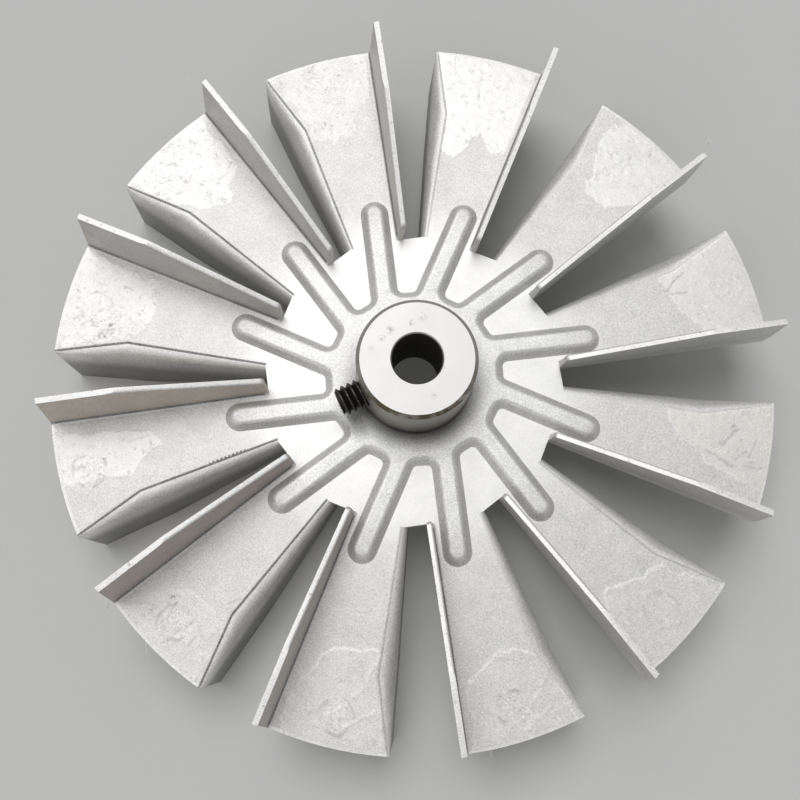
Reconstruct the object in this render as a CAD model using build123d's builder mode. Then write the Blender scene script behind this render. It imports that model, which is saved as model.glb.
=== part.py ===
from build123d import *
import os
from math import cos, hypot, pi, radians, sin, tan

# Die-cast double-paddle fan impeller with a turned hub and a set screw.
# Origin on the bore axis at the level of the lowest blade edges, +Z up through the hub.
# All lengths in millimetres, all angles in degrees.

os.makedirs("parts", exist_ok=True)

# ---- wheel ----
wheel_radius = 60.325          # 4-3/4 in wheel
blade_count = 12
blade_width = 25.4             # lower fin edge to upper fin edge
web_thickness = 2.2
first_blade_angle = 107.0      # centre line of blade 1, counter-clockwise from +X

# ---- blades ----
fin_height = (blade_width - web_thickness) / 2
fin_end_height = 5.8           # fin height at the slot end
fin_thickness = 0.9
fin_lean = 3.2                 # both fins lean outward from the blade centre line
blade_half_root = 0.75         # half width of a blade extrapolated to the axis
blade_taper = 8.55             # half angle between the two fin planes
fin_kink = 46.0                # from here outward the fins keep their full height
fin_end_x = 59.6               # outer end of the fins at the web top
fin_end_draft = 8.3            # outer end of the upper fin leans inward
lower_end_draft = 2.4
fin_root_fillet = 0.6
fin_corner_radius = 0.8
slot_apothem = 24.4            # the slot ends lie on a twelve-sided outline

# ---- rounded shoulder on the counter-clockwise side of each blade ----
crease_start_x, crease_start_y = 24.9, 3.6
crease_kink_x, crease_kink_y = 48.2, 5.35
crease_tip_x, crease_tip_y = 59.55, 9.5
crease_step = 0.12
shoulder_min = 0.12

# ---- ribs and hub plateau ----
rib_height = 1.3
rib_base_width = 4.8
rib_draft = 40.0
rib_angle = -9.9               # rib direction against the blade centre line
rib_start_x, rib_start_y = 15.1, 0.75
rib_end_x = 29.6               # centre of the rounded rib end
plateau_apothem = 14.9
plateau_turn = -13.3           # plateau flats face between the ribs
pad_corner_radius = 0.9
rib_top_round = 1.1

# ---- hub ----
hub_diameter = 19.05
hub_above_web = 13.3
bore_diameter = 7.94
hub_chamfer = 0.6
bore_chamfer = 0.2
seat_clearance = 0.0           # the casting is shrunk onto the hub
seat_groove_width = 0.3        # narrow groove between hub wall and plateau
seat_groove_depth = 0.5
screw_clearance = 0.0          # major diameters of screw and tapped hole meet

# ---- set screw, 10-24 UNC ----
screw_major = 4.83
screw_pitch = 1.058
screw_length = 9.525
screw_angle = 205.0
screw_above_web = 6.2
socket_across_flats = 2.38
socket_depth = 2.6
screw_end_chamfer = 0.5

# ---- derived ----
web_top = fin_height + web_thickness
web_bottom = fin_height
taper_slope = tan(radians(blade_taper))
lean_slope = tan(radians(fin_lean))
pitch_angle = 360 / blade_count
bore_radius = bore_diameter / 2
hub_top = web_top + hub_above_web
screw_z = web_top + screw_above_web
screw_inner = bore_radius + 0.03
screw_plane = Plane(origin=(0, 0, screw_z), x_dir=(0, 0, 1),
                    z_dir=(cos(radians(screw_angle)), sin(radians(screw_angle)), 0))
blade_start = slot_apothem - 7.0
blade_reach = wheel_radius + 4.0
crease_run = (crease_kink_y - crease_start_y) / (crease_kink_x - crease_start_x)
slot_outline_radius = slot_apothem / cos(pi / blade_count)
fin_direction = first_blade_angle - blade_taper
plateau_radius = plateau_apothem / cos(pi / blade_count)
rib_slope = tan(radians(rib_angle))
rib_end_y = rib_start_y + (rib_end_x - rib_start_x) * rib_slope
rib_inner_x = hub_diameter / 2
rib_middle_x = (rib_end_x + rib_inner_x) / 2
rib_middle_y = rib_start_y + (rib_middle_x - rib_start_x) * rib_slope
rib_straight = (rib_end_x - rib_inner_x) / cos(radians(rib_angle))


def half_width(x):
    """Distance from the blade centre line to a fin plane at the web top."""
    return blade_half_root + x * taper_slope


def polygon_at_x(x, points):
    """Section across the blade: points are (y, z) pairs in the plane at distance x."""
    plane = Plane(origin=(x, 0, 0), x_dir=(0, 1, 0), z_dir=(1, 0, 0))
    with BuildSketch(plane) as section:
        with BuildLine():
            Polyline(*points, close=True)
        make_face()
    return section.sketch


def shoulder_section(x, y):
    """Waste region above the rounded shoulder; its arc starts at the crease."""
    radius = max(half_width(x) - y, shoulder_min)
    top = web_top - crease_step
    arc_end = (y + radius + radius * lean_slope, top - radius)
    plane = Plane(origin=(x, 0, 0), x_dir=(0, 1, 0), z_dir=(1, 0, 0))
    with BuildSketch(plane) as section:
        with BuildLine():
            TangentArc((y, top), arc_end, tangent=(1, 0))
            Polyline(arc_end, (y + radius + 4, top - radius), (y + radius + 4, web_top + 1),
                     (y, web_top + 1), (y, top))
        make_face()
    return section.sketch


def lean_shift(z):
    """Sideways lean of a fin face at height z, measured from the web top."""
    return (z - web_top) * lean_slope


def upper_fin_section(x):
    """Section of the upper fin: leaning slab with a concave root at the web top."""
    slab_top = web_top + fin_height + 1
    foot_y = -half_width(x) + fin_root_fillet
    root_top = web_top + fin_root_fillet
    root_y = -half_width(x) - lean_shift(root_top)
    high_y = -half_width(x) - lean_shift(slab_top)
    low_y = -half_width(x) - lean_shift(web_bottom) - fin_thickness
    plane = Plane(origin=(x, 0, 0), x_dir=(0, 1, 0), z_dir=(1, 0, 0))
    with BuildSketch(plane) as section:
        with BuildLine():
            TangentArc((foot_y, web_top), (root_y, root_top), tangent=(-1, 0))
            Polyline((root_y, root_top), (high_y, slab_top), (high_y - fin_thickness, slab_top),
                     (low_y, web_bottom), (foot_y, web_bottom), (foot_y, web_top))
        make_face()
    return section.sketch


# ---- one blade: web, two fins, rounded shoulder ----
with BuildPart() as web_strip:
    # flat of the blade, reaching under both fins
    with BuildSketch(Plane.XY.offset(web_bottom)):
        with BuildLine():
            Polyline((blade_start, half_width(blade_start)),
                     (blade_reach, half_width(blade_reach)),
                     (blade_reach, -half_width(blade_reach) - fin_thickness / 2),
                     (blade_start, -half_width(blade_start) - fin_thickness / 2), close=True)
        make_face()
    extrude(amount=web_thickness)

with BuildPart() as upper_fin:
    # leaning slab on the clockwise edge with a concave root on the blade side
    add(loft([upper_fin_section(x) for x in (blade_start, blade_reach)], ruled=True))
    # side profile: rises from the slot end to the kink, then level, drafted outer end
    fin_slot_x = slot_apothem * cos(radians(blade_taper)) - 0.2
    with BuildSketch(Plane.XZ.offset(-20)):
        with BuildLine():
            Polyline((fin_slot_x, web_bottom), (fin_slot_x, web_top + fin_end_height),
                     (fin_kink, web_top + fin_height),
                     (fin_end_x - fin_height * tan(radians(fin_end_draft)), web_top + fin_height),
                     (fin_end_x, web_top), (fin_end_x, web_bottom), close=True)
        profile = make_face()
        inner_corner = profile.vertices().sort_by(Axis.X)[0:2].sort_by(Axis.Z)[-1]
        fillet(inner_corner, fin_corner_radius)
    extrude(amount=40, mode=Mode.INTERSECT)
    slot_end_edges = upper_fin.edges().filter_by(Axis.Z, 12).sort_by(Axis.X)[0:2]
    fillet(slot_end_edges, fin_thickness * 0.4)

with BuildPart() as lower_fin:
    # leaning slab on the counter-clockwise edge, from the web top down
    slab_low = -1
    fin_sections = []
    for x in (blade_start, blade_reach):
        outer_high = half_width(x)
        outer_low = half_width(x) - lean_shift(slab_low)
        fin_sections.append(polygon_at_x(x, [(outer_high, web_top), (outer_low, slab_low),
                                             (outer_low - fin_thickness, slab_low),
                                             (outer_high - fin_thickness, web_top)]))
    add(loft(fin_sections, ruled=True))
    with BuildSketch(Plane.XZ.offset(-20)):
        with BuildLine():
            Polyline((fin_slot_x, web_top), (fin_slot_x, web_bottom - fin_end_height),
                     (fin_kink, 0),
                     (fin_end_x - web_top * tan(radians(lower_end_draft)), 0),
                     (fin_end_x, web_top), close=True)
        make_face()
    extrude(amount=40, mode=Mode.INTERSECT)

with BuildPart() as shoulder_waste:
    stations = [(crease_start_x - 3.5, crease_start_y - 3.5 * crease_run),
                (crease_kink_x, crease_kink_y)]
    add(loft([shoulder_section(*station) for station in stations], ruled=True))
    tip_rise = (crease_tip_y - crease_kink_y) / (crease_tip_x - crease_kink_x)
    far_x = wheel_radius + 0.6
    stations = [(crease_kink_x, crease_kink_y),
                (far_x, crease_kink_y + (far_x - crease_kink_x) * tip_rise)]
    add(loft([shoulder_section(*station) for station in stations], ruled=True))

with BuildPart() as blade:
    add(web_strip.part)
    add(upper_fin.part)
    add(lower_fin.part)
    add(shoulder_waste.part, mode=Mode.SUBTRACT)
    # turned rim: everything ends on the wheel diameter
    with BuildSketch(Plane.XY):
        Circle(wheel_radius)
    extrude(amount=blade_width, mode=Mode.INTERSECT)

# ---- ribs and hub plateau ----
with BuildPart() as star:
    # ribs and plateau drafted as one raised star
    with BuildSketch(Plane.XY.offset(web_top)) as star_outline:
        RegularPolygon(plateau_radius, blade_count,
                       rotation=first_blade_angle + plateau_turn + pitch_angle / 2)
        with PolarLocations(0, blade_count, start_angle=first_blade_angle):
            with Locations(Location((rib_middle_x, rib_middle_y, 0), (0, 0, rib_angle))):
                Rectangle(rib_straight, rib_base_width)
            with Locations((rib_end_x, rib_end_y)):
                Circle(rib_base_width / 2)
        pad_corners = star_outline.vertices().filter_by(lambda v: hypot(v.X, v.Y) < plateau_radius + 1)
        fillet(pad_corners, pad_corner_radius)
    extrude(amount=rib_height, taper=rib_draft)
    top_rim = star.faces().sort_by(Axis.Z)[-1].edges()
    fillet(top_rim, rib_top_round)

# ---- casting: disc, blades, star, hub seat ----
with BuildPart() as casting:
    with BuildSketch(Plane.XY.offset(web_bottom)):
        RegularPolygon(slot_outline_radius, blade_count,
                       rotation=fin_direction + pitch_angle / 2)
    extrude(amount=web_thickness)
    with PolarLocations(0, blade_count, start_angle=first_blade_angle):
        add(blade.part)
    add(star.part)
    with BuildSketch(Plane.XY.offset(web_bottom)):
        Circle(hub_diameter / 2 + seat_clearance)
    extrude(amount=web_thickness + rib_height, mode=Mode.SUBTRACT)
    with BuildSketch(Plane.XY.offset(web_top + rib_height)):
        Circle(hub_diameter / 2 + seat_groove_width)
    extrude(amount=-seat_groove_depth, mode=Mode.SUBTRACT)
casting.part.label = "impeller"

# ---- hub: turned bush with bore and cross-tapped hole ----
with BuildPart() as hub:
    with BuildSketch(Plane.XY.offset(web_bottom)):
        Circle(hub_diameter / 2)
    extrude(amount=hub_top - web_bottom)
    chamfer(hub.faces().sort_by(Axis.Z)[-1].edges(), hub_chamfer)
    with BuildSketch(Plane.XY.offset(web_bottom)):
        Circle(bore_radius)
    extrude(amount=hub_top - web_bottom, mode=Mode.SUBTRACT)
    bore_rims = hub.edges().filter_by(GeomType.CIRCLE).filter_by(
        lambda e: abs(e.radius - bore_radius) < 0.01)
    chamfer(bore_rims, bore_chamfer)
    with BuildSketch(screw_plane):
        Circle(screw_major / 2 + screw_clearance)
    extrude(amount=hub_diameter, mode=Mode.SUBTRACT)
hub.part.label = "hub"

# ---- set screw: plain cylinder at the thread's major diameter, hex socket outward ----
with BuildPart() as set_screw:
    with BuildSketch(screw_plane.offset(screw_inner)):
        Circle(screw_major / 2)
    extrude(amount=screw_length)
    chamfer(set_screw.edges().filter_by(GeomType.CIRCLE), screw_end_chamfer)
    with BuildSketch(screw_plane.offset(screw_inner + screw_length)):
        RegularPolygon(socket_across_flats / 2, 6, major_radius=False)
    extrude(amount=-socket_depth, mode=Mode.SUBTRACT)
set_screw.part.label = "set_screw"

export_step(casting.part, "parts/impeller.step")
export_step(hub.part, "parts/hub.step")
export_step(set_screw.part, "parts/set_screw.step")
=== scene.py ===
import bpy
import bmesh
from math import cos, degrees, pi, radians, sin, tan
from mathutils import Euler, Matrix, Vector
from mathutils.noise import noise_vector as noiseVector, turbulence_vector as turbulenceVector
from mathutils.noise import seed_set as seedNoise


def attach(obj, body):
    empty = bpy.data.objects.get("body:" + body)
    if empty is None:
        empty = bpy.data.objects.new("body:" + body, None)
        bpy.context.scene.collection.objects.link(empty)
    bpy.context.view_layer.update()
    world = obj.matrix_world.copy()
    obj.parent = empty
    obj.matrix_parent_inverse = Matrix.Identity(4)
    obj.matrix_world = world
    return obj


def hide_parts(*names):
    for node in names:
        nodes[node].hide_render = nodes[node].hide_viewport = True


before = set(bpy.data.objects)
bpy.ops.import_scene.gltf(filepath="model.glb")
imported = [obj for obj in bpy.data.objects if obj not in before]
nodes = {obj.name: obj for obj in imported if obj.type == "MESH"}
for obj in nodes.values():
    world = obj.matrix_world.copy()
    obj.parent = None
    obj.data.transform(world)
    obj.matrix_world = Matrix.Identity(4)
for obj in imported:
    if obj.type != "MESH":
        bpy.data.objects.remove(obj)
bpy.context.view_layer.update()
mm = 0.001
noiseSeed = 1795445876
seedNoise(noiseSeed)  # the marks come out the same in each run
print("frame loaded:", ", ".join(sorted(nodes)))

# where the blades lie, in millimetres and degrees
wheel = {
    "bladeCount": 12,
    "firstAngle": 107.0,
    "rootHalf": 0.75,
    "taper": 8.55,
    "webTop": 13.8,
}

# the parting crease along each blade's shoulder: (along, across)
creaseLine = [(24.9, 3.6), (48.2, 5.35), (59.55, 9.5)]


def bladePoint(blade, along, across, height=0.0):
    # a point given along and across one blade, in the wheel's own millimetres
    turn = radians(wheel["firstAngle"] - 360 / wheel["bladeCount"] * (blade - 1))
    return Vector((along * cos(turn) - across * sin(turn), along * sin(turn) + across * cos(turn), height))


# small helpers for shader trees
def addNode(tree, kind, **settings):
    made = tree.nodes.new(kind)
    for name, value in settings.items():
        setattr(made, name, value)
    return made


def feed(tree, socket, value):
    if isinstance(value, bpy.types.NodeSocket):
        tree.links.new(value, socket)
    elif value is not None:
        socket.default_value = value


def calc(tree, operation, *values, clamp=False):
    made = addNode(tree, "ShaderNodeMath", operation=operation, use_clamp=clamp)
    for place, value in enumerate(values):
        feed(tree, made.inputs[place], value)
    return made.outputs[0]


def product(tree, first, *others):
    for other in others:
        first = calc(tree, "MULTIPLY", first, other)
    return first


def vectorCalc(tree, operation, *values, out=0):
    made = addNode(tree, "ShaderNodeVectorMath", operation=operation)
    for place, value in enumerate(values):
        feed(tree, made.inputs[place], value)
    return made.outputs[out]


def toMillimetres(tree, vector):
    made = addNode(tree, "ShaderNodeVectorMath", operation="SCALE")
    feed(tree, made.inputs[0], vector)
    feed(tree, made.inputs["Scale"], 1 / mm)
    return made.outputs[0]


def ramp(tree, value, low, high, toLow=0.0, toHigh=1.0, kind="SMOOTHSTEP"):
    made = addNode(tree, "ShaderNodeMapRange", interpolation_type=kind, clamp=True)
    limits = {"Value": value, "From Min": low, "From Max": high, "To Min": toLow, "To Max": toHigh}
    for name, part in limits.items():
        feed(tree, made.inputs[name], part)
    return made.outputs[0]


def inBand(tree, value, band):
    # a band is one (none, all) pair, or a rising pair and a falling pair
    pairs = band if isinstance(band[0], tuple) else (band,)
    return product(tree, *(ramp(tree, value, none, full) for none, full in pairs))


def noise(tree, vector, scale, detail, roughness):
    made = addNode(tree, "ShaderNodeTexNoise")
    feed(tree, made.inputs["Vector"], vector)
    made.inputs["Scale"].default_value = scale
    made.inputs["Detail"].default_value = detail
    made.inputs["Roughness"].default_value = roughness
    return made.outputs[0]


def blend(tree, mask, under, over, kind="MIX"):
    made = addNode(tree, "ShaderNodeMix", data_type="RGBA", blend_type=kind)
    feed(tree, made.inputs[0], mask)
    for place, colour in ((6, under), (7, over)):
        feed(tree, made.inputs[place], (*colour, 1.0) if isinstance(colour, tuple) else colour)
    return made.outputs[2]


def toned(tree, colour, tone):
    return blend(tree, 1.0, colour, combine(tree, tone, tone, tone), kind="MULTIPLY")


def combine(tree, x=0.0, y=0.0, z=0.0):
    made = addNode(tree, "ShaderNodeCombineXYZ")
    for place, value in enumerate((x, y, z)):
        feed(tree, made.inputs[place], value)
    return made.outputs[0]


def split(tree, vector):
    made = addNode(tree, "ShaderNodeSeparateXYZ")
    feed(tree, made.inputs[0], vector)
    return made.outputs


def newGroup(name, inputs, outputs):
    tree = bpy.data.node_groups.new(name, "ShaderNodeTree")
    for way, sockets in (("INPUT", inputs), ("OUTPUT", outputs)):
        for label, kind in sockets.items():
            tree.interface.new_socket(name=label, in_out=way, socket_type="NodeSocket" + kind)
    return tree, addNode(tree, "NodeGroupInput").outputs, addNode(tree, "NodeGroupOutput").inputs


def useGroup(tree, group, **values):
    made = addNode(tree, "ShaderNodeGroup", node_tree=group)
    for name, value in values.items():
        feed(tree, made.inputs[name], value)
    return made.outputs


def newMaterial(name):
    made = bpy.data.materials.new(name)
    made.use_nodes = True
    tree = made.node_tree
    tree.nodes.clear()
    shader = addNode(tree, "ShaderNodeBsdfPrincipled")
    ending = addNode(tree, "ShaderNodeOutputMaterial")
    tree.links.new(shader.outputs[0], ending.inputs["Surface"])
    return made, tree, shader.inputs


def addRelief(tree, shader, height, strength):
    # height in millimetres
    bump = addNode(tree, "ShaderNodeBump")
    bump.inputs["Strength"].default_value = strength
    bump.inputs["Distance"].default_value = mm
    feed(tree, bump.inputs["Height"], height)
    feed(tree, shader["Normal"], bump.outputs[0])


def perBlade(tree, blade, values):
    # one value for each blade, read from a stepped ramp
    made = addNode(tree, "ShaderNodeValToRGB")
    steps = made.color_ramp
    steps.interpolation = "CONSTANT"
    for place, value in enumerate(values):
        step = steps.elements[place] if place < 2 else steps.elements.new(place / len(values))
        step.position = place / len(values)
        shade = value if isinstance(value, tuple) else (value, value, value)
        step.color = (*shade, 1.0)
    feed(tree, made.inputs[0], ramp(tree, blade, 0.5, len(values) + 0.5, kind="LINEAR"))
    return made.outputs[0]


def makeBladeFrame():
    # turns a place on the wheel into lengths along and across its nearest blade
    outputs = {"Along": "Float", "Across": "Float", "Blade": "Float", "Radius": "Float", "Height": "Float",
               "Millimetres": "Vector"}
    tree, given, wanted = newGroup("bladeFrame", {"Position": "Vector"}, outputs)
    place = toMillimetres(tree, given["Position"])
    x, y, z = split(tree, place)
    pitch = 360 / wheel["bladeCount"]
    turn = product(tree, calc(tree, "ARCTAN2", y, x), degrees(1))
    count = calc(tree, "DIVIDE", calc(tree, "SUBTRACT", wheel["firstAngle"], turn), pitch)
    whole = calc(tree, "ROUND", count)
    off = product(tree, calc(tree, "SUBTRACT", whole, count), radians(pitch))
    radius = calc(tree, "SQRT", calc(tree, "ADD", product(tree, x, x), product(tree, y, y)))
    number = calc(tree, "ADD", calc(tree, "WRAP", whole, wheel["bladeCount"] - 0.5, -0.5), 1.0)
    feed(tree, wanted["Along"], product(tree, radius, calc(tree, "COSINE", off)))
    feed(tree, wanted["Across"], product(tree, radius, calc(tree, "SINE", off)))
    feed(tree, wanted["Blade"], number)
    feed(tree, wanted["Radius"], radius)
    feed(tree, wanted["Height"], z)
    feed(tree, wanted["Millimetres"], place)
    return tree


# noises of a die-cast skin: scale, detail and roughness
grainLook = {
    "fine": (4.6, 3.0, 0.66),
    "pits": (1.7, 2.0, 0.5),
    "broad": (0.28, 3.0, 0.55),
    "folds": (0.85, 4.0, 0.62),
    "swing": (0.3, 0.7, -1.0, 1.0),
    "pitBand": (0.66, 0.74),
    "crest": (0.5, 0.02),
    "hollow": (0.465, 0.018),
    "hollowShare": -0.9,
    "wrinkleBand": (0.5, 0.62),
}


def makeGrain():
    look = grainLook
    names = ("Speckle", "Pits", "Mottle", "Relief", "Wrinkle")
    tree, given, wanted = newGroup("castGrain", {"Millimetres": "Vector"}, dict.fromkeys(names, "Float"))
    fine, pits, broad, folds = (noise(tree, given["Millimetres"], *look[name])
                                for name in ("fine", "pits", "broad", "folds"))
    feed(tree, wanted["Speckle"], ramp(tree, fine, *look["swing"], kind="LINEAR"))
    feed(tree, wanted["Pits"], inBand(tree, pits, look["pitBand"]))
    feed(tree, wanted["Mottle"], ramp(tree, broad, *look["swing"], kind="LINEAR"))
    feed(tree, wanted["Relief"], fine)
    # fold lines: a bright crest as painted highlight and a dark hollow beside it as painted shade
    lines = []
    for middle, width in (look["crest"], look["hollow"]):
        away = calc(tree, "ABSOLUTE", calc(tree, "SUBTRACT", folds, middle))
        lines.append(ramp(tree, away, width, 0.0))
    wrinkle = calc(tree, "MULTIPLY_ADD", lines[1], look["hollowShare"], lines[0])
    feed(tree, wanted["Wrinkle"], product(tree, wrinkle, inBand(tree, pits, look["wrinkleBand"])))
    return tree


bladeFrame, castGrain = makeBladeFrame(), makeGrain()
print("shared effects built")


# the casting: lists hold one value for each blade, bands are in millimetres or in the share that faces up
castLook = {
    "colour": (0.745, 0.74, 0.73),
    "padColour": (0.80, 0.797, 0.79),
    "warmColour": (0.80, 0.76, 0.68),
    "metallic": 0.5,
    "footMetallic": 0.4,
    "roughness": 0.5,
    "polish": -0.08,
    "speckleRoughness": 0.05,
    "speckle": 0.26,
    "mottle": 0.05,
    "skinCalm": 0.5,
    "padCalm": 0.6,
    "raisedGrain": 0.1,
    "ribPits": 0.4,
    "markGrain": (0.3, 0.52, 0.35, 1.0),
    "tones": {"skin": 0.10, "raised": -0.08, "wrinkle": 0.14, "rim": 0.2, "glint": 0.28, "crease": -0.7,
              "foot": -0.6, "pitted": -0.3, "finEdge": 0.12},
    "deepShade": -0.62,
    # painted shadow of the hub and of the set screw on the web
    "hubShadowShade": -0.86,
    "hubShadowLean": (-0.05, 0.55),
    "screwShadowPlace": (-9.0, -8.2, 15.1),
    "screwShadowShare": 0.6,
    "toothStep": 0.34,
    "toothBlade": 10,
    "finInset": 0.12,
    "grainRelief": (0.034, 0.006),
    "creaseRelief": -0.05,
    "wrinkleRelief": 0.012,
    "pitRelief": -0.05,
    "reliefStrength": 0.8,
    # painted shade of the crease line, one strength per blade
    "crease": [0.8, 0.45, 0.05, 0.08, 0.12, 0.35, 0.12, 0.4, 1.0, 1.0, 1.0, 0.95],
    # painted shade and reflection on the fin faces, one colour per blade
    "finFaceShading": [(0.64, 0.63, 0.61), (0.66, 0.65, 0.64), (0.7, 0.7, 0.69), (0.66, 0.66, 0.65),
                (0.66, 0.65, 0.64), (0.68, 0.67, 0.66), (0.6, 0.59, 0.57), (0.56, 0.53, 0.50),
                (0.56, 0.50, 0.48), (0.68, 0.61, 0.54), (0.64, 0.62, 0.60), (0.66, 0.65, 0.64)],
    "skinWarmth": [0.0, 0.0, 0.0, 0.1, 0.42, 0.1, 0.25, 0.25, 0.1, 0.1, 0.0, 0.0],
    "bands": {
        "topside": (0.55, 0.8),
        "finEdge": (1.9, 2.6),
        "finFaceTilt": (0.45, 0.25),
        "finFaceHeight": (0.2, 0.7),
        "pads": (33.0, 23.0),
        "ribTop": ((0.9, 1.2), (1.7, 1.5)),
        "raised": ((0.05, 0.3), (1.8, 1.6)),
        "raisedReach": (34.0, 33.0),
        "rimTilt": (0.2, 0.5),
        "rimRadius": (59.75, 60.0),
        "outside": (24.4, 24.9),
        "crease": (0.27, 0.08),
        "creaseTilt": (0.3, 0.5),
        "creaseHeight": (0.5, 0.3),
        "glint": ((0.2, 0.4), (1.9, 0.6)),
        "deepHeight": (-1.0, -7.5),
        "deepSide": (-0.6, 0.0),
        "deepTilt": (0.8, 0.4),
        "toothShape": (0.12, 0.2),
        "toothSide": ((-0.55, -0.35), (0.1, 0.0)),
        "toothReach": ((29.5, 30.5), (37.0, 36.0)),
        "footGap": (0.22, 0.05),
        "footHeight": ((-0.3, -0.1), (0.8, 0.5)),
        "wrinkle": (0.03, 0.2),
        # where the painted shadows of the hub and the set screw lie
        "hubShadow": (13.4, 9.4),
        "hubShadowHeight": (-0.5, 0.0),
        "screwShadow": (3.4, 0.4),
    },
    "weld": 0.004,
    "sharpAngle": 34.0,
}


def beyondCrease(tree, along, across):
    # how far past the crease a place lies, towards the lower fin
    reaches = []
    for (fromAlong, fromAcross), (toAlong, toAcross) in zip(creaseLine, creaseLine[1:]):
        slope = (toAcross - fromAcross) / (toAlong - fromAlong)
        past = calc(tree, "SUBTRACT", along, fromAlong)
        reaches.append(calc(tree, "MULTIPLY_ADD", past, slope, fromAcross))
    return calc(tree, "SUBTRACT", across, calc(tree, "MAXIMUM", *reaches))


def makeCastMaterial():
    made, tree, shader = newMaterial("castAluminium")
    look = castLook
    where = addNode(tree, "ShaderNodeTexCoord").outputs
    blade = useGroup(tree, bladeFrame, Position=where["Object"])
    point, along, across, radius = blade["Millimetres"], blade["Along"], blade["Across"], blade["Radius"]
    grain = useGroup(tree, castGrain, Millimetres=point)
    upness = split(tree, where["Normal"])[2]
    above = calc(tree, "SUBTRACT", blade["Height"], wheel["webTop"])
    skin = addNode(tree, "ShaderNodeAttribute", attribute_name="skin").outputs["Fac"]
    shade = addNode(tree, "ShaderNodeAttribute", attribute_name="shade").outputs["Fac"]
    shade = product(tree, shade, ramp(tree, grain["Relief"], *look["markGrain"]))

    def mask(value, name):
        return inBand(tree, value, look["bands"][name])

    topside = mask(upness, "topside")
    outside = mask(along, "outside")
    # painted highlight on the fin tops
    finEdge = product(tree, topside, mask(above, "finEdge"))
    finFace = product(tree, mask(calc(tree, "ABSOLUTE", upness), "finFaceTilt"), mask(above, "finFaceHeight"))
    pads = product(tree, topside, mask(radius, "pads"))
    ribTop = product(tree, topside, mask(above, "ribTop"))
    raised = product(tree, mask(above, "raised"), mask(radius, "raisedReach"))
    # painted highlight along the rounded outer rim
    rim = product(tree, mask(upness, "rimTilt"), mask(radius, "rimRadius"))

    # parting crease on the rounded shoulder: its dark line is painted shade, stronger on some blades than
    # others, and the bright line below it is a painted highlight
    beyond = beyondCrease(tree, along, across)
    share = product(tree, outside, perBlade(tree, blade["Blade"], look["crease"]))
    glint = product(tree, share, mask(beyond, "glint"))
    crease = product(tree, share, mask(calc(tree, "ABSOLUTE", beyond), "crease"), mask(upness, "creaseTilt"),
                     mask(calc(tree, "ABSOLUTE", above), "creaseHeight"))

    # painted shade: the lower flanks darken towards their foot
    deep = product(tree, mask(above, "deepHeight"), mask(beyond, "deepSide"), mask(upness, "deepTilt"))

    # saw teeth of flash left along one crease
    teeth = product(tree, mask(calc(tree, "PINGPONG", along, look["toothStep"]), "toothShape"),
                    mask(beyond, "toothSide"), mask(along, "toothReach"),
                    calc(tree, "COMPARE", blade["Blade"], look["toothBlade"], 0.3))

    # painted shade: a dark line in the corner at the foot of each fin
    rootHalf = wheel["rootHalf"] - look["finInset"]
    half = calc(tree, "MULTIPLY_ADD", along, tan(radians(wheel["taper"])), rootHalf)
    footGap = calc(tree, "ABSOLUTE", calc(tree, "ADD", across, half))
    foot = product(tree, outside, mask(footGap, "footGap"), mask(above, "footHeight"))

    # brightness: the rim, glint and fin-top tones are painted highlights, the crease and foot tones painted
    # shade, and the wrinkle tone painted highlight and shade on fine folds
    calm = calc(tree, "MAXIMUM", product(tree, skin, look["skinCalm"]), product(tree, pads, look["padCalm"]))
    calm = product(tree, calm, calc(tree, "SUBTRACT", 1.0, raised))
    rough = calc(tree, "MULTIPLY_ADD", raised, look["raisedGrain"], calc(tree, "SUBTRACT", 1.0, calm))
    wrinkle = product(tree, grain["Wrinkle"], mask(skin, "wrinkle"))
    pitted = product(tree, grain["Pits"], calc(tree, "MULTIPLY_ADD", ribTop, look["ribPits"], finEdge))
    masks = {"skin": skin, "raised": raised, "wrinkle": wrinkle, "rim": rim, "glint": glint, "foot": foot,
             "crease": calc(tree, "MAXIMUM", crease, teeth), "pitted": pitted, "finEdge": finEdge}
    tone = calc(tree, "MULTIPLY_ADD", product(tree, grain["Speckle"], rough), look["speckle"], 1.0)
    tone = calc(tree, "MULTIPLY_ADD", grain["Mottle"], look["mottle"], tone)
    for name, strength in look["tones"].items():
        tone = calc(tree, "MULTIPLY_ADD", masks[name], strength, tone)
    tone = calc(tree, "ADD", tone, shade)
    tone = product(tree, tone, calc(tree, "MULTIPLY_ADD", deep, look["deepShade"], 1.0))

    # painted shadow of the hub round its foot, thickest on the low side, and a painted shadow below the set
    # screw
    lean = calc(tree, "MULTIPLY_ADD", split(tree, point)[1], *look["hubShadowLean"], clamp=True)
    hubShadow = product(tree, mask(radius, "hubShadow"), lean, mask(above, "hubShadowHeight"))
    screwShadow = mask(vectorCalc(tree, "DISTANCE", point, look["screwShadowPlace"], out=1), "screwShadow")
    paintedShadow = calc(tree, "MAXIMUM", hubShadow, product(tree, screwShadow, look["screwShadowShare"]))
    tone = product(tree, tone, calc(tree, "MULTIPLY_ADD", paintedShadow, look["hubShadowShade"], 1.0))

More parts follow.
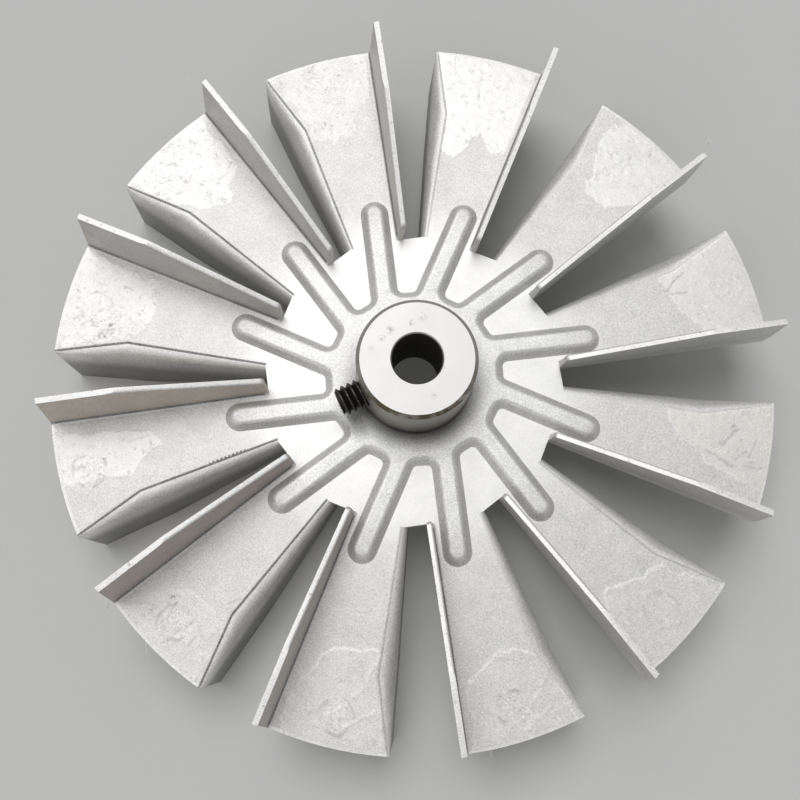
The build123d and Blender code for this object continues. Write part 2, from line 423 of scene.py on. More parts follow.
    # colour, with painted shade and reflection on the fin faces, one colour per blade
    colour = blend(tree, pads, look["colour"], look["padColour"])
    colour = blend(tree, finFace, colour, perBlade(tree, blade["Blade"], look["finFaceShading"]))
    warm = product(tree, skin, perBlade(tree, blade["Blade"], look["skinWarmth"]))
    colour = blend(tree, warm, colour, look["warmColour"])
    feed(tree, shader["Base Color"], toned(tree, colour, tone))
    metal = ramp(tree, foot, 0.0, 1.0, look["metallic"], look["footMetallic"], kind="LINEAR")
    feed(tree, shader["Metallic"], metal)
    shine = calc(tree, "MULTIPLY_ADD", pads, look["polish"], look["roughness"])
    shine = calc(tree, "MULTIPLY_ADD", skin, look["polish"], shine)
    shine = calc(tree, "MULTIPLY_ADD", grain["Speckle"], look["speckleRoughness"], shine)
    feed(tree, shader["Roughness"], shine)

    # relief
    relief = product(tree, grain["Relief"], calc(tree, "MULTIPLY_ADD", rough, *look["grainRelief"]))
    for amount, height in ((crease, look["creaseRelief"]), (wrinkle, look["wrinkleRelief"]),
                           (product(tree, finEdge, grain["Pits"]), look["pitRelief"])):
        relief = calc(tree, "MULTIPLY_ADD", amount, height, relief)
    addRelief(tree, shader, relief, look["reliefStrength"])
    return made


castAluminium = makeCastMaterial()


def putInScene(name, mesh):
    piece = bpy.data.objects.new(name, mesh)
    bpy.context.scene.collection.objects.link(piece)
    return piece


def pieceFrom(name, shape, *materials):
    mesh = bpy.data.meshes.new(name)
    shape.to_mesh(mesh)
    shape.free()
    for material in materials:
        mesh.materials.append(material)
    return putInScene(name, mesh)


def makeCasting():
    # the CAD wheel's own mesh, welded and shaded smooth
    mesh = nodes["impeller"].data.copy()
    mesh.name = "castWheel"
    if "custom_normal" in mesh.attributes:
        mesh.attributes.remove(mesh.attributes["custom_normal"])
    piece = putInScene("castWheel", mesh)
    shape = bmesh.new()
    shape.from_mesh(mesh)
    bmesh.ops.remove_doubles(shape, verts=shape.verts, dist=castLook["weld"] * mm)
    bmesh.ops.recalc_face_normals(shape, faces=shape.faces)
    for face in shape.faces:
        face.smooth = True
    print("casting:", len(shape.faces), "faces")
    shape.to_mesh(mesh)
    shape.free()
    mesh.set_sharp_from_angle(angle=radians(castLook["sharpAngle"]))
    weigh = piece.modifiers.new("evenNormals", "WEIGHTED_NORMAL")
    weigh.keep_sharp = True
    mesh.materials.clear()
    mesh.materials.append(castAluminium)
    return piece


# the sheet of marks on the outer part of each blade, in millimetres
skinSheet = {
    "start": 39.5,
    "rim": 60.22,
    "lengthSteps": 94,
    "widthSteps": 66,
    "finGap": 0.62,
    "creaseGap": 0.14,
    "border": 0.35,
    "lift": 0.004,
    "swell": 0.012,
    "flow": {"tearSize": 0.32, "tearLayer": 7.3, "tearOctaves": 4, "tear": 1.1, "edge": 0.14,
             "lipInset": 0.05, "lipWidth": 0.26, "rise": 0.03, "lipRise": 0.02,
             "crinkleSize": 0.9, "crinkleLayer": 2.7, "crinkleRise": 0.012,
             "foldSize": 0.8, "foldLayer": 6.1, "foldStretch": (0.8, 1.5), "foldBand": (-0.1, 0.3),
             "crestWidth": 0.09, "crestTone": 0.16, "crestRise": 0.02,
             "hollowPlace": 0.11, "hollowWidth": 0.08, "hollowTone": -0.2, "hollowRise": -0.012},
    "stroke": {"waverSize": 0.7, "waverLayer": 3.1, "waver": 0.45, "width": 0.5, "widthWaver": 0.3,
               "edge": 0.14, "fadeSize": 2.1, "fadeLayer": 9.0, "fade": (0.75, 0.6),
               "ridge": 0.035, "groove": -0.021},
    "ring": {"radius": 2.7, "width": 0.34, "waverSize": 0.5, "waverLayer": 5.7, "waver": 0.5,
             "fade": (0.4, 1.7), "tone": -0.42, "rise": 0.03, "dishEdge": 2.3, "dishRise": -0.012,
             "churnEdge": (3.6, 1.6), "gritSize": 1.1, "gritLayer": 4.3, "gritStretch": (0.9, 1.8),
             "gritWidth": 0.12, "gritTone": 0.26, "gritRise": 0.03,
             "pitPlace": 0.16, "pitWidth": 0.1, "pitTone": -0.3},
    "spot": {"fleckSize": 1.7, "fleckLayer": 1.9, "fleck": (0.35, 1.8), "edge": (1.1, 0.2), "rise": 0.02},
}

# outlines of the smoother skin that the metal left near the rims: blade, (along, across), brightness, lip;
# the lip's brightness is a painted highlight
flowSkins = [
    (1, [(62, 9.5), (52, 5.5), (46.5, 3.5), (44.5, 1.0), (46, -2.5), (49.5, -5.0), (53, -8.5), (62, -10)],
     0.35, 0.05),
    (2, [(62, 11), (41.5, 5.5), (40.3, 2.2), (46.2, -0.9), (42.2, -4.3), (42.6, -7), (54, -9), (62, -9)],
     1.0, 0.04),
    (3, [(62, 4.6), (54, 5.2), (50, 3.1), (45, 0.9), (44.7, -0.2), (46, -4.4), (49, -6.2), (52, -8),
         (62, -11)], 1.0, 0.04),
    (4, [(62, 12), (44.8, 6), (45.2, 3), (46, 0), (50, -6.2), (62, -10)], 0.9, 0.06),
    (5, [(62, 11), (42.3, 5.2), (43, 3), (47, -0.5), (52, -3.4), (57, -5), (62, -5.4)], 0.7, 0.06),
    (6, [(62, 8), (49.6, 5), (49.6, 1), (46.4, -3.6), (46.6, -5.4), (49, -7.6), (62, -9)], 0.3, 0.18),
    (7, [(62, 8.4), (52, 7.2), (48, 4.5), (46.9, 0), (47, -2), (49.5, -6.7), (62, -9)], 0.2, 0.22),
    (8, [(62, 9), (50.3, 6.2), (45, 5), (44.6, 3), (44.9, -1.8), (51.8, -7), (62, -8)], 0.25, 0.26),
    (9, [(62, 9), (56, 6.5), (50.5, 4.6), (49.5, 1), (51, -3), (54, -6.5), (62, -9)], 0.22, 0.05),
    (10, [(62, 1), (50, 2.2), (43, -1.2), (43.6, -3), (50, -5.5), (62, -7)], 0.6, 0.03),
    (11, [(62, 10), (49, 5.2), (46, 3), (45, -1), (46.5, -6), (62, -9)], 0.4, 0.0),
    (12, [(62, 10), (50, 5.2), (46, 2), (45.1, -1), (48.5, -6), (62, -9)], 0.5, 0.03),
]

# ejector pin rings: blade, along, across, strength
pinRings = [
    (1, 57.0, 0.5, 0.35), (4, 56.0, 0.0, 0.35), (6, 54.5, -0.8, 0.5), (7, 55.0, -0.5, 0.9),
    (8, 55.5, 0.3, 0.7), (9, 55.0, -0.6, 0.8), (10, 55.2, -0.2, 1.0), (11, 54.8, 0.6, 0.6),
    (12, 54.6, 3.0, 0.8),
]

# scratches and wrinkles: blade, start, end, width, shade; bright ones are raised ridges with a painted
# highlight, dark ones sunk grooves with painted shade
strokes = [
    (2, (58.2, 1.0), (52.7, 0.4), 0.25, -0.2), (2, (52.9, 0.5), (52.3, 0.3), 0.6, -0.35),
    (3, (59.4, -2.2), (57.6, -3.0), 0.25, -0.25), (3, (55.2, -0.8), (51.9, -1.2), 0.25, -0.2),
    (4, (49.6, 4.4), (46.1, 2.4), 0.25, -0.45), (4, (49.2, 1.0), (46.6, 1.4), 0.3, -0.45),
    (4, (46.6, 1.4), (45.9, 2.4), 0.25, -0.4), (5, (55.2, -2.6), (49.7, -0.9), 0.5, -0.4),
    (5, (59.5, -1.5), (56.2, -2.2), 0.25, -0.3), (5, (54.4, 4.0), (52.4, 1.2), 0.3, -0.45),
    (5, (57.6, 3.0), (57.0, -0.6), 0.22, -0.4), (5, (56.6, 0.6), (54.8, -1.0), 0.25, -0.35),
    (5, (56.0, -4.2), (50.3, -2.9), 0.3, 0.12), (6, (50.0, 1.8), (41.5, 4.8), 0.18, -0.12),
    (6, (58.0, -0.2), (56.0, -3.6), 0.4, 0.12), (6, (50.2, 4.6), (49.8, 2.0), 0.3, 0.1),
    (7, (51.4, 6.4), (54.6, 3.2), 0.4, 0.16), (7, (54.6, 3.2), (56.4, 1.2), 0.4, 0.16),
    (7, (56.3, 5.4), (58.8, 0.2), 0.4, 0.14), (7, (53.6, 7.6), (55.2, 5.6), 0.3, 0.12),
    (8, (52.9, 7.0), (54.2, 5.2), 0.4, 0.18), (8, (54.2, 5.2), (57.2, 1.6), 0.4, 0.14),
    (8, (45.4, 4.9), (50.3, 3.4), 0.45, 0.18), (8, (50.3, 3.4), (54.2, 0.6), 0.45, 0.18),
    (8, (54.2, 0.6), (55.8, -1.4), 0.4, 0.15), (9, (58.5, 0.6), (53.2, 1.6), 0.22, -0.35),
    (9, (55.5, -1.6), (52.5, -2.6), 0.25, -0.4), (9, (47.5, 3.8), (45.2, 4.6), 0.25, -0.3),
    (9, (56.5, 3.6), (53.4, 3.9), 0.2, -0.25), (10, (48.5, -3.0), (44.6, -3.1), 0.22, -0.25),
    (10, (55.8, 3.0), (54.0, 2.2), 0.25, -0.3), (11, (53.0, 0.0), (49.0, 1.3), 0.28, -0.2),
    (11, (49.0, 1.3), (46.5, 2.4), 0.22, -0.15), (12, (54.6, 1.9), (52.7, 1.7), 0.35, -0.35),
    (12, (56.8, 3.8), (55.4, 4.1), 0.25, -0.25), (12, (49.3, 0.0), (46.0, 1.9), 0.2, -0.2),
]

# rough or soiled spots: blade, along, across, radius, shade
spots = [
    (2, 55.0, 6.0, 2.6, -0.05), (4, 57.6, 0.4, 2.2, -0.06), (5, 53.4, 4.2, 0.9, -0.35),
    (5, 51.9, 1.0, 0.8, -0.3), (5, 54.6, 0.4, 0.7, -0.15), (6, 52.6, 0.9, 0.8, -0.12),
    (6, 57.0, -1.6, 1.6, 0.06), (7, 55.2, -0.6, 1.6, 0.05), (9, 52.6, -3.4, 0.45, -0.5),
    (9, 57.0, -0.4, 1.4, -0.08), (10, 53.6, 1.6, 0.8, -0.15), (11, 53.6, 6.4, 1.0, -0.8),
    (11, 52.6, 5.0, 1.1, -0.9), (11, 51.6, 3.5, 1.0, -0.9), (11, 51.0, 2.2, 0.7, -0.7),
    (11, 55.0, 1.8, 1.8, -0.06),
]


def clamped(value):
    return min(1.0, max(0.0, value))


def easeStep(value, low, high):
    share = clamped((value - low) / (high - low))
    return share * share * (3 - 2 * share)


def peak(value, width):
    return max(0.0, 1 - abs(value) / width)


def segmentGap(spot, start, end):
    reach = end - start
    share = clamped((spot - start).dot(reach) / reach.dot(reach))
    return (spot - start - reach * share).length


def outlineGap(spot, outline):
    # distance to a closed outline, below zero inside it
    nearest, inside = float("inf"), False
    for place, start in enumerate(outline):
        end = outline[(place + 1) % len(outline)]
        nearest = min(nearest, segmentGap(spot, start, end))
        if (start.y > spot.y) != (end.y > spot.y):
            crossing = start.x + (spot.y - start.y) * (end.x - start.x) / (end.y - start.y)
            if spot.x < crossing:
                inside = not inside
    return -nearest if inside else nearest


def sway(spot, size, layer):
    return noiseVector(Vector((spot.x * size, spot.y * size, layer)))


def stretched(spot, stretch):
    return Vector((spot.x * stretch[0], spot.y * stretch[1]))


# each mark gives (shade, smoothness, height in millimetres) at one place on a blade
def flowMark(blade, spot, outline, gain, lip):
    look = skinSheet["flow"]
    place = Vector((spot.x * look["tearSize"], spot.y * look["tearSize"], blade * look["tearLayer"]))
    torn = spot + Vector(turbulenceVector(place, look["tearOctaves"], False)[:2]) * look["tear"]
    gap = outlineGap(torn, [Vector(corner) for corner in outline])
    inside = easeStep(gap, look["edge"], -look["edge"])
    edge = peak(gap + look["lipInset"], look["lipWidth"])
    crinkle = sway(spot, look["crinkleSize"], blade * look["crinkleLayer"])
    fold = sway(stretched(spot, look["foldStretch"]), look["foldSize"], blade * look["foldLayer"])
    folded = easeStep(fold.z, *look["foldBand"])
    crest = peak(fold.x, look["crestWidth"]) * folded
    hollow = peak(fold.x - look["hollowPlace"], look["hollowWidth"]) * folded
    # painted highlight on the lip and on fold crests, painted shade in fold hollows
    shade = lip * edge + inside * (look["crestTone"] * crest + look["hollowTone"] * hollow)
    rough = look["crinkleRise"] * crinkle.x + look["crestRise"] * crest + look["hollowRise"] * hollow
    return shade, gain * inside, look["rise"] * inside + look["lipRise"] * edge + inside * rough


def strokeMark(blade, spot, start, end, width, glow):
    look = skinSheet["stroke"]
    waver = sway(spot, look["waverSize"], blade * look["waverLayer"])
    gap = segmentGap(spot + Vector(waver[:2]) * look["waver"], Vector(start), Vector(end))
    reach = width * (look["width"] + look["widthWaver"] * waver.z) + look["edge"]
    steady, change = look["fade"]
    fade = sway(spot, look["fadeSize"], look["fadeLayer"]).x
    mark = easeStep(gap, reach, 0.0) * min(1.0, steady + change * fade)
    # bright strokes get a painted highlight on their ridge, dark ones painted shade in their groove
    return glow * mark, 0.0, mark * (look["ridge"] if glow > 0 else look["groove"])


def ringMark(blade, spot, along, across, strength):
    look = skinSheet["ring"]
    waver = sway(spot, look["waverSize"], blade * look["waverLayer"])
    away = (spot - Vector((along, across))).length + waver.x * look["waver"]
    steady, change = look["fade"]
    ring = easeStep(abs(away - look["radius"]), look["width"], 0.0)
    mark = ring * clamped(steady + change * waver.z) * strength
    grit = sway(stretched(spot, look["gritStretch"]), look["gritSize"], blade * look["gritLayer"])
    churned = strength * easeStep(away, *look["churnEdge"])
    raised, sunk = peak(grit.x, look["gritWidth"]), peak(grit.x - look["pitPlace"], look["pitWidth"])
    # inside a ring: raised grit with a painted highlight, sunk pits with painted shade
    shade = look["tone"] * mark + churned * (look["gritTone"] * raised + look["pitTone"] * sunk)
    dish = look["dishRise"] * strength * easeStep(away, look["radius"], look["dishEdge"])
    return shade, 0.0, look["rise"] * mark + dish + look["gritRise"] * churned * raised


def spotMark(blade, spot, along, across, radius, glow):
    look = skinSheet["spot"]
    steady, change = look["fleck"]
    fleck = clamped(steady + change * sway(spot, look["fleckSize"], blade * look["fleckLayer"]).z)
    mark = easeStep((spot - Vector((along, across))).length / radius, *look["edge"]) * fleck
    return glow * mark, 0.0, look["rise"] * mark


def markAt(blade, spot):
    total = [0.0, 0.0, 0.0]
    kinds = ((flowMark, flowSkins), (strokeMark, strokes), (ringMark, pinRings), (spotMark, spots))
    for makeMark, rows in kinds:
        for number, *values in rows:
            if number == blade:
                total = [before + added for before, added in zip(total, makeMark(blade, spot, *values))]
    return total


def creaseAcross(along):
    return max(fromAcross + (along - fromAlong) * (toAcross - fromAcross) / (toAlong - fromAlong)
               for (fromAlong, fromAcross), (toAlong, toAcross) in zip(creaseLine, creaseLine[1:]))


def makeSkinSheet():
    size = skinSheet
    shape = bmesh.new()
    shadeLayer = shape.verts.layers.float.new("shade")
    skinLayer = shape.verts.layers.float.new("skin")
    for blade in range(1, wheel["bladeCount"] + 1):
        made = bmesh.ops.create_grid(shape, x_segments=size["lengthSteps"], y_segments=size["widthSteps"],
                                     size=0.5)
        for vert in made["verts"]:
            lengthShare, widthShare = vert.co.x + 0.5, vert.co.y + 0.5
            along = size["start"] + lengthShare * (size["rim"] - size["start"])
            for repeat in range(2):
                low = size["finGap"] - wheel["rootHalf"] - along * tan(radians(wheel["taper"]))
                width = creaseAcross(along) - size["creaseGap"] - low
                across = low + widthShare * width
                length = (size["rim"] ** 2 - across ** 2) ** 0.5 - size["start"]
                along = size["start"] + lengthShare * length
            shade, skin, height = markAt(blade, Vector((along, across)))
            inset = min(lengthShare * length, (1 - lengthShare) * length,
                        widthShare * width, (1 - widthShare) * width)
            rise = size["lift"] + easeStep(inset, 0.0, size["border"]) * (size["swell"] + height)
            vert.co = bladePoint(blade, along, across, wheel["webTop"] + rise) * mm
            vert[shadeLayer] = shade
            vert[skinLayer] = skin
    bmesh.ops.recalc_face_normals(shape, faces=shape.faces)
    for face in shape.faces:
        face.normal_update()
        face.smooth = True
    bmesh.ops.reverse_faces(shape, faces=[face for face in shape.faces if face.normal.z < 0])
    print("cast skin:", len(shape.faces), "faces")
    return pieceFrom("castSkin", shape, castAluminium)


# whiskers of flash and crumbs of metal, in millimetres
flashLook = {
    "sides": 5,
    "thinning": 0.75,
    "crumbRough": 0.3,
    "crumbGrain": 9000,
}

# blade, thickness, then (along, across, height)
flashHairs = [
    (9, 0.07, [(60.0, -1.6, 13.5), (60.8, -1.2, 13.6), (61.4, -0.3, 13.7), (61.2, 0.5, 13.9),
               (61.7, 1.1, 13.8)]),
    (9, 0.05, [(60.1, 0.2, 13.4), (60.7, -0.4, 13.6), (61.2, -0.9, 13.4)]),
    (9, 0.06, [(59.9, -9.8, 14.6), (60.5, -9.9, 14.2), (61.1, -9.5, 13.9), (61.8, -9.6, 13.8)]),
    (7, 0.06, [(60.0, -5.8, 13.3), (60.9, -6.2, 13.2), (61.4, -5.9, 13.0), (61.9, -6.1, 13.1)]),
    (3, 0.06, [(59.8, -9.7, 24.9), (60.5, -9.1, 25.2), (61.2, -8.8, 25.1)]),
    (3, 0.05, [(60.2, -9.6, 24.4), (60.9, -9.7, 24.9), (61.3, -9.3, 25.0)]),
    (4, 0.07, [(57.6, -9.6, 13.0), (58.1, -10.4, 12.8), (58.9, -10.8, 12.7), (59.4, -10.6, 12.6)]),
    (12, 0.05, [(60.0, -9.7, 24.6), (60.6, -9.0, 24.4), (61.0, -8.4, 24.5)]),
    (6, 0.05, [(59.9, 8.6, 13.2), (60.6, 8.8, 13.0), (61.0, 9.3, 13.1)]),
]

# blade, along, across, height, radius
crumbs = [
    (8, 60.2, -1.4, 13.4, 0.16), (8, 60.3, -0.2, 13.2, 0.12), (8, 60.2, 1.3, 13.5, 0.18),
    (8, 60.3, 2.1, 13.3, 0.11), (8, 60.1, 3.8, 13.6, 0.13), (11, 60.2, -2.6, 13.4, 0.12),
    (12, 60.2, 2.2, 13.5, 0.1), (5, 60.2, -4.1, 13.3, 0.12),
]


def addHair(shape, path, radius):
    sides = flashLook["sides"]
    rings = []
    for place, spot in enumerate(path):
        ahead = (path[min(place + 1, len(path) - 1)] - path[max(place - 1, 0)]).normalized()
        thin = 1 - flashLook["thinning"] * place / (len(path) - 1)
        side = ahead.orthogonal().normalized() * radius * thin
        turns = [Matrix.Rotation(2 * pi * part / sides, 3, ahead) for part in range(sides)]
        rings.append([shape.verts.new((spot + turn @ side) * mm) for turn in turns])
    for before, after in zip(rings, rings[1:]):
        for part in range(sides):
            following = (part + 1) % sides
            corners = (before[part], before[following], after[following], after[part])
            shape.faces.new(corners).smooth = True
    shape.faces.new(rings[0][::-1])
    shape.faces.new(rings[-1])


def makeFlash():
    shape = bmesh.new()
    for blade, radius, path in flashHairs:
        addHair(shape, [bladePoint(blade, *spot) for spot in path], radius)
    for blade, along, across, height, radius in crumbs:
        made = bmesh.ops.create_icosphere(shape, subdivisions=1, radius=radius * mm)["verts"]
        for vert in made:
            place = vert.co * flashLook["crumbGrain"] + Vector((along, across, blade))
            vert.co *= 1 + flashLook["crumbRough"] * noiseVector(place).x
        bmesh.ops.translate(shape, verts=made, vec=bladePoint(blade, along, across, height) * mm)
    bmesh.ops.recalc_face_normals(shape, faces=shape.faces)
    print("flash:", len(shape.faces), "faces")
    return pieceFrom("castFlash", shape, castAluminium)


castWheel = makeCasting()
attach(castWheel, "root")
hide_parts("impeller")
castSkin = makeSkinSheet()
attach(castSkin, "root")
castFlash = makeFlash()
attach(castFlash, "root")
print("casting dressed")


# the turned hub: scuffs are (x, y, reach) on its face, noises are scale, detail and roughness
hubLook = {
    "colour": (0.57, 0.565, 0.556),
    # the wall and chamfer colours are painted shade and reflection
    "shadedWallColour": (0.42, 0.395, 0.355),
    "chamferColour": (0.40, 0.385, 0.36),
    # painted shade on the chamfer's low side
    "lowSideShadeColour": (0.12, 0.095, 0.07),
    # painted shade at the foot of the wall
    "wallFootShadeColour": (0.22, 0.18, 0.14),
    "jointColour": (0.05, 0.042, 0.035),
    # painted shade inside the bore
    "boreColour": (0.035, 0.030, 0.027),
    "metallic": 0.9,
    "boreMetallic": 0.2,
    "roughness": 0.3,
    "cloudRoughness": 0.1,
    "faceRoughness": 0.12,
    "boreRoughness": 0.3,
    "wallFootShadeShare": 0.5,
    "ringTone": 0.12,
    "turningTone": 0.7,
    "cloudTone": 0.12,
    "scuffTone": -0.5,
    "ringRelief": 0.006,
    "turningRelief": 0.012,
    "reliefStrength": 0.7,
    "rings": (9.0, 3.0, 0.6),
    "turning": (2.6, 4.0, 0.7),
    "turningStretch": (0.12, 0.12, 1.0),
    "cloud": (0.35, 3.0, 0.55),
    "flecks": (2.6, 3.0, 0.7),
    "top": 27.1,
    "foot": 13.8,
    "scuffs": [(-4.2, 4.4, 1.0), (-5.4, 3.2, 0.9), (-0.9, 5.6, 0.8), (0.8, 6.6, 1.0), (-7.1, 1.5, 0.6),
               (4.0, -1.4, 0.5), (2.6, -6.0, 0.7)],
    "bands": {
        "face": (0.85, 0.97),
        "wall": (0.3, 0.15),
        "bore": (4.4, 4.2),
        "lowSide": (3.0, -7.0),
        "lowCloud": (0.3, 0.55),
        "wallFootShade": (1.6, 0.1),
        "joint": (0.45, 0.2),
        "flecks": (0.46, 0.58),
    },
}


def makeHubMaterial():
    made, tree, shader = newMaterial("turnedSteel")
    look = hubLook
    where = addNode(tree, "ShaderNodeTexCoord").outputs
    blade = useGroup(tree, bladeFrame, Position=where["Object"])
    point, radius = blade["Millimetres"], blade["Radius"]
    flatness = calc(tree, "ABSOLUTE", split(tree, where["Normal"])[2])
    above = calc(tree, "SUBTRACT", blade["Height"], look["foot"])

    def mask(value, name):
        return inBand(tree, value, look["bands"][name])

    rings = noise(tree, combine(tree, radius), *look["rings"])
    turning = noise(tree, vectorCalc(tree, "MULTIPLY", point, look["turningStretch"]), *look["turning"])
    cloud = noise(tree, point, *look["cloud"])
    face, wall = mask(flatness, "face"), mask(flatness, "wall")
    chamfer = calc(tree, "SUBTRACT", 1.0, calc(tree, "MAXIMUM", face, wall))
    # painted shade on the low side of the chamfer, in patches
    lowSideShade = product(tree, mask(split(tree, point)[1], "lowSide"), mask(cloud, "lowCloud"))
    bore = product(tree, wall, mask(radius, "bore"))

    # colour: the wall and chamfer colours hold painted shade and reflection, with more painted shade on the
    # chamfer's low side, at the wall's foot and in the bore
    colour = blend(tree, wall, look["colour"], look["shadedWallColour"])
    colour = blend(tree, chamfer, colour, blend(tree, lowSideShade, look["chamferColour"], look["lowSideShadeColour"]))
    # painted shade at the foot of the wall, where it meets the casting
    wallFootShading = product(tree, wall, mask(above, "wallFootShade"), look["wallFootShadeShare"])
    colour = blend(tree, wallFootShading, colour, look["wallFootShadeColour"])
    colour = blend(tree, product(tree, wall, mask(above, "joint")), colour, look["jointColour"])
    # the bore is painted near black, as painted shade
    colour = blend(tree, bore, colour, look["boreColour"])

    # brightness, with scuffs on the face
    tone = 1.0
    ringTone = product(tree, face, look["ringTone"])
    turningTone = product(tree, wall, look["turningTone"])
    for pattern, strength in ((rings, ringTone), (turning, turningTone), (cloud, look["cloudTone"])):
        tone = calc(tree, "MULTIPLY_ADD", calc(tree, "SUBTRACT", pattern, 0.5), strength, tone)
    scuffed = 0.0
    for x, y, reach in look["scuffs"]:
        away = vectorCalc(tree, "DISTANCE", point, (x, y, look["top"]), out=1)
        scuffed = calc(tree, "MAXIMUM", ramp(tree, away, reach, 0.0), scuffed)
    scuffed = product(tree, scuffed, mask(noise(tree, point, *look["flecks"]), "flecks"))
    tone = calc(tree, "MULTIPLY_ADD", scuffed, look["scuffTone"], tone)
    feed(tree, shader["Base Color"], toned(tree, colour, tone))

    metal = ramp(tree, bore, 0.0, 1.0, look["metallic"], look["boreMetallic"], kind="LINEAR")
    feed(tree, shader["Metallic"], metal)
    satin = calc(tree, "MULTIPLY_ADD", face, look["faceRoughness"], look["roughness"])
    satin = calc(tree, "MULTIPLY_ADD", cloud, look["cloudRoughness"], satin)
    feed(tree, shader["Roughness"], calc(tree, "MULTIPLY_ADD", bore, look["boreRoughness"], satin))
    relief = calc(tree, "ADD", product(tree, rings, face, look["ringRelief"]),
                  product(tree, turning, wall, look["turningRelief"]))
    addRelief(tree, shader, relief, look["reliefStrength"])
    return made


turnedSteel = makeHubMaterial()
for materialSlot in nodes["hub"].material_slots:
    materialSlot.material = turnedSteel
print("hub dressed")


# the set screw, in millimetres and degrees
setScrew = {
    "pitch": 1.058,
    "major": 4.83,
    "depth": 0.62,
    "crest": 0.14,
    "length": 9.525,
    "outerEnd": 13.525,
    "angle": 205.0,
    "height": 20.0,
    "socket": 2.38,
    "socketDepth": 2.6,
    "endChamfer": 0.5,
    "spareTurns": 3,
    "cutTurn": 1.01,
    "spareEnd": 0.3,
    "threadSteps": 36,
    "roundSteps": 48,
    "weld": 0.01,
    "sharpAngle": 28.0,
    "colour": (0.030, 0.028, 0.028),
    # painted highlight colour for the thread crests
    "crestHighlightColour": (0.17, 0.16, 0.155),
    "oilyColour": (0.05, 0.042, 0.036),
    "oil": 0.5,
    "crestHighlightDepth": (-0.16, -0.02),
    "crestHighlightBand": (0.4, 0.62),
    "oilBand": (0.35, 0.7),
    "metallic": 0.7,
    "roughness": (0.25, 0.28),
    "grain": (4.0, 3.0, 0.6),
    "grainRelief": 0.02,
    "reliefStrength": 0.5,
}


def cutWith(target, tool, operation):
    change = target.modifiers.new("cut", "BOOLEAN")
    change.operation = operation
    change.solver = "EXACT"
    change.object = tool
    seen = bpy.context.evaluated_depsgraph_get()
    result = bpy.data.meshes.new_from_object(target.evaluated_get(seen))
    target.modifiers.clear()
    target.data = result
    bpy.data.objects.remove(tool)


def spunAbout(shape, points, **settings):
    # a profile of points spun about the vertical axis
    profile = [shape.verts.new(point) for point in points]
    edges = [shape.edges.new(pair) for pair in zip(profile, profile[1:])]
    bmesh.ops.spin(shape, geom=profile + edges, cent=(0, 0, 0), axis=(0, 0, 1), use_duplicate=False,
                   **settings)
    bmesh.ops.remove_doubles(shape, verts=shape.verts, dist=setScrew["weld"] * mm)


def makeThread():
    size = setScrew
    pitch, crestWidth = size["pitch"] * mm, size["crest"] * mm
    crest, root = size["major"] / 2 * mm, (size["major"] / 2 - size["depth"]) * mm
    flank = (pitch - crestWidth) / 2
    turns = round(size["length"] / size["pitch"]) + size["spareTurns"]
    shape = bmesh.new()
    spunAbout(shape, [(root, 0, 0), (crest, 0, flank), (crest, 0, flank + crestWidth), (root, 0, pitch)],
              dvec=(0, 0, pitch / size["threadSteps"]), angle=2 * pi * turns,
              steps=turns * size["threadSteps"], use_merge=False)
    low = pitch * size["cutTurn"]
    high = low + (size["length"] + 2 * size["spareEnd"]) * mm
    for level, side in ((low, -1), (high, 1)):
        cut = bmesh.ops.bisect_plane(shape, geom=shape.verts[:] + shape.edges[:] + shape.faces[:], dist=1e-7,
                                     plane_co=(0, 0, level), plane_no=(0, 0, side), clear_outer=True)
        rim = [item for item in cut["geom_cut"] if isinstance(item, bmesh.types.BMEdge)]
        bmesh.ops.contextual_create(shape, geom=rim)
    bmesh.ops.recalc_face_normals(shape, faces=shape.faces)
    thread = pieceFrom("setScrewBody", shape)
    thread.data.transform(Matrix.Translation((0, 0, -low - size["spareEnd"] * mm)))
    return thread


def makeScrew():
    size = setScrew
    length, chamfer, crest = size["length"] * mm, size["endChamfer"] * mm, size["major"] / 2 * mm
    made = makeThread()

    # chamfered ends
    shape = bmesh.new()
    spunAbout(shape, [(0, 0, 0), (crest - chamfer, 0, 0), (crest, 0, chamfer), (crest, 0, length - chamfer),
                      (crest - chamfer, 0, length), (0, 0, length)],
              angle=2 * pi, steps=size["roundSteps"], use_merge=True)
    bmesh.ops.recalc_face_normals(shape, faces=shape.faces)
    cutWith(made, pieceFrom("envelope", shape), "INTERSECT")

    # hexagon socket
    shape = bmesh.new()
    corner = size["socket"] / 3 ** 0.5 * mm
    bmesh.ops.create_cone(shape, cap_ends=True, segments=6, radius1=corner, radius2=corner,
                          depth=2 * size["socketDepth"] * mm)
    bmesh.ops.translate(shape, verts=shape.verts, vec=(0, 0, length))
    bmesh.ops.recalc_face_normals(shape, faces=shape.faces)
    cutWith(made, pieceFrom("hexagon", shape), "DIFFERENCE")

    direction = Vector((cos(radians(size["angle"])), sin(radians(size["angle"])), 0))
    turn = direction.to_track_quat("Z", "Y").to_matrix().to_4x4()
    start = direction * (size["outerEnd"] - size["length"]) * mm + Vector((0, 0, size["height"] * mm))
    made.data.transform(Matrix.Translation(start) @ turn)
    made.data.shade_smooth()
    made.data.set_sharp_from_angle(angle=radians(size["sharpAngle"]))
    made.data.materials.clear()
    made.data.materials.append(makeScrewMaterial())
    print("set screw:", len(made.data.polygons), "faces")
    return made


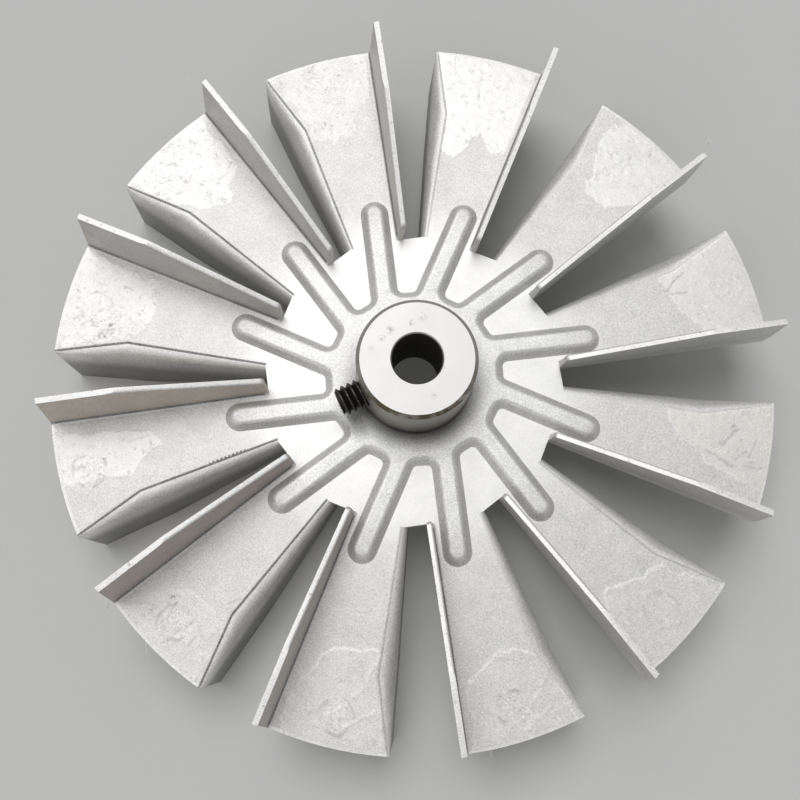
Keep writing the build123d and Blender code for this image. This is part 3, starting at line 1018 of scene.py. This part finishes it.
def makeScrewMaterial():
    made, tree, shader = newMaterial("blackOxide")
    look = setScrew
    point = toMillimetres(tree, addNode(tree, "ShaderNodeTexCoord").outputs["Object"])
    direction = (cos(radians(look["angle"])), sin(radians(look["angle"])), 0)
    offset = vectorCalc(tree, "SUBTRACT", point, (0, 0, look["height"]))
    away = vectorCalc(tree, "LENGTH", vectorCalc(tree, "CROSS_PRODUCT", offset, direction), out=1)
    crest = ramp(tree, away, *(look["major"] / 2 + depth for depth in look["crestHighlightDepth"]))
    grain = noise(tree, point, *look["grain"])
    # painted highlight along the thread crests, in patches
    crestHighlight = product(tree, crest, inBand(tree, grain, look["crestHighlightBand"]))
    colour = blend(tree, crestHighlight, look["colour"], look["crestHighlightColour"])
    oily = blend(tree, look["oil"], colour, look["oilyColour"])
    feed(tree, shader["Base Color"], blend(tree, inBand(tree, grain, look["oilBand"]), colour, oily))
    shader["Metallic"].default_value = look["metallic"]
    feed(tree, shader["Roughness"], calc(tree, "MULTIPLY_ADD", grain, *look["roughness"]))
    addRelief(tree, shader, product(tree, grain, look["grainRelief"]), look["reliefStrength"])
    return made


screw = makeScrew()
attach(screw, "root")
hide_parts("set_screw")
print("set screw dressed")


# places in metres, turns and spreads in degrees
studio = {
    "floorColour": (0.74, 0.74, 0.735),
    "floorRoughness": 0.85,
    "floorGloss": 0.2,
    "floorHalf": 2.0,
    "floorHeight": -0.00003,
    "worldGrey": 0.24,
    "backdropGrey": 0.52,
    "lamps": {
        "key": {"place": (-0.09, 0.19, 0.50), "spread": 42.0, "power": 1.24},
        "fill": {"place": (-0.30, -0.34, 0.36), "spread": 45.0, "power": 0.28},
    },
    "cameraPlace": (-0.004976, -0.036141, 0.169937),
    "cameraTurn": (11.674, -0.9818, 0.2165),
    "cameraLens": 43.127,
    "cameraSensor": 36.0,
    "cameraNearest": 0.001,
}


def makeFloor():
    made, tree, shader = newMaterial("paleFloor")
    shader["Base Color"].default_value = (*studio["floorColour"], 1)
    shader["Roughness"].default_value = studio["floorRoughness"]
    shader["Specular IOR Level"].default_value = studio["floorGloss"]
    shape = bmesh.new()
    bmesh.ops.create_grid(shape, x_segments=1, y_segments=1, size=studio["floorHalf"])
    floor = pieceFrom("floor", shape, made)
    floor.location.z = studio["floorHeight"]


def makeWorld():
    # one grey lights the scene, and a paler one is what the camera and mirrors see
    world = bpy.data.worlds.new("studioWorld")
    world.use_nodes = True
    tree = world.node_tree
    tree.nodes.clear()
    rays = addNode(tree, "ShaderNodeLightPath").outputs
    shades = []
    for grey in (studio["worldGrey"], studio["backdropGrey"]):
        light = addNode(tree, "ShaderNodeBackground")
        light.inputs[0].default_value = (grey, grey, grey, 1)
        shades.append(light.outputs[0])
    mirrored = calc(tree, "MAXIMUM", rays["Is Glossy Ray"], rays["Is Transmission Ray"])
    seen = calc(tree, "MAXIMUM", rays["Is Camera Ray"], mirrored)
    choice = addNode(tree, "ShaderNodeMixShader")
    for socket, value in zip(choice.inputs, (seen, *shades)):
        feed(tree, socket, value)
    ending = addNode(tree, "ShaderNodeOutputWorld")
    feed(tree, ending.inputs[0], choice.outputs[0])
    bpy.context.scene.world = world


def makeLamps():
    for name, values in studio["lamps"].items():
        lamp = bpy.data.lights.new(name, "SUN")
        lamp.angle = radians(values["spread"])
        lamp.energy = values["power"]
        holder = putInScene(name, lamp)
        holder.location = values["place"]
        holder.rotation_euler = Vector(values["place"]).to_track_quat("Z", "Y").to_euler()


def makeCamera():
    lens = bpy.data.cameras.new("camera")
    lens.sensor_width = studio["cameraSensor"]
    lens.lens = studio["cameraLens"]
    lens.clip_start = studio["cameraNearest"]
    camera = putInScene("camera", lens)
    camera.location = studio["cameraPlace"]
    camera.rotation_euler = Euler([radians(part) for part in studio["cameraTurn"]], "XYZ")
    bpy.context.scene.camera = camera
    bpy.context.scene.view_settings.view_transform = "Standard"


makeFloor()
makeWorld()
makeLamps()
makeCamera()
print("studio ready")
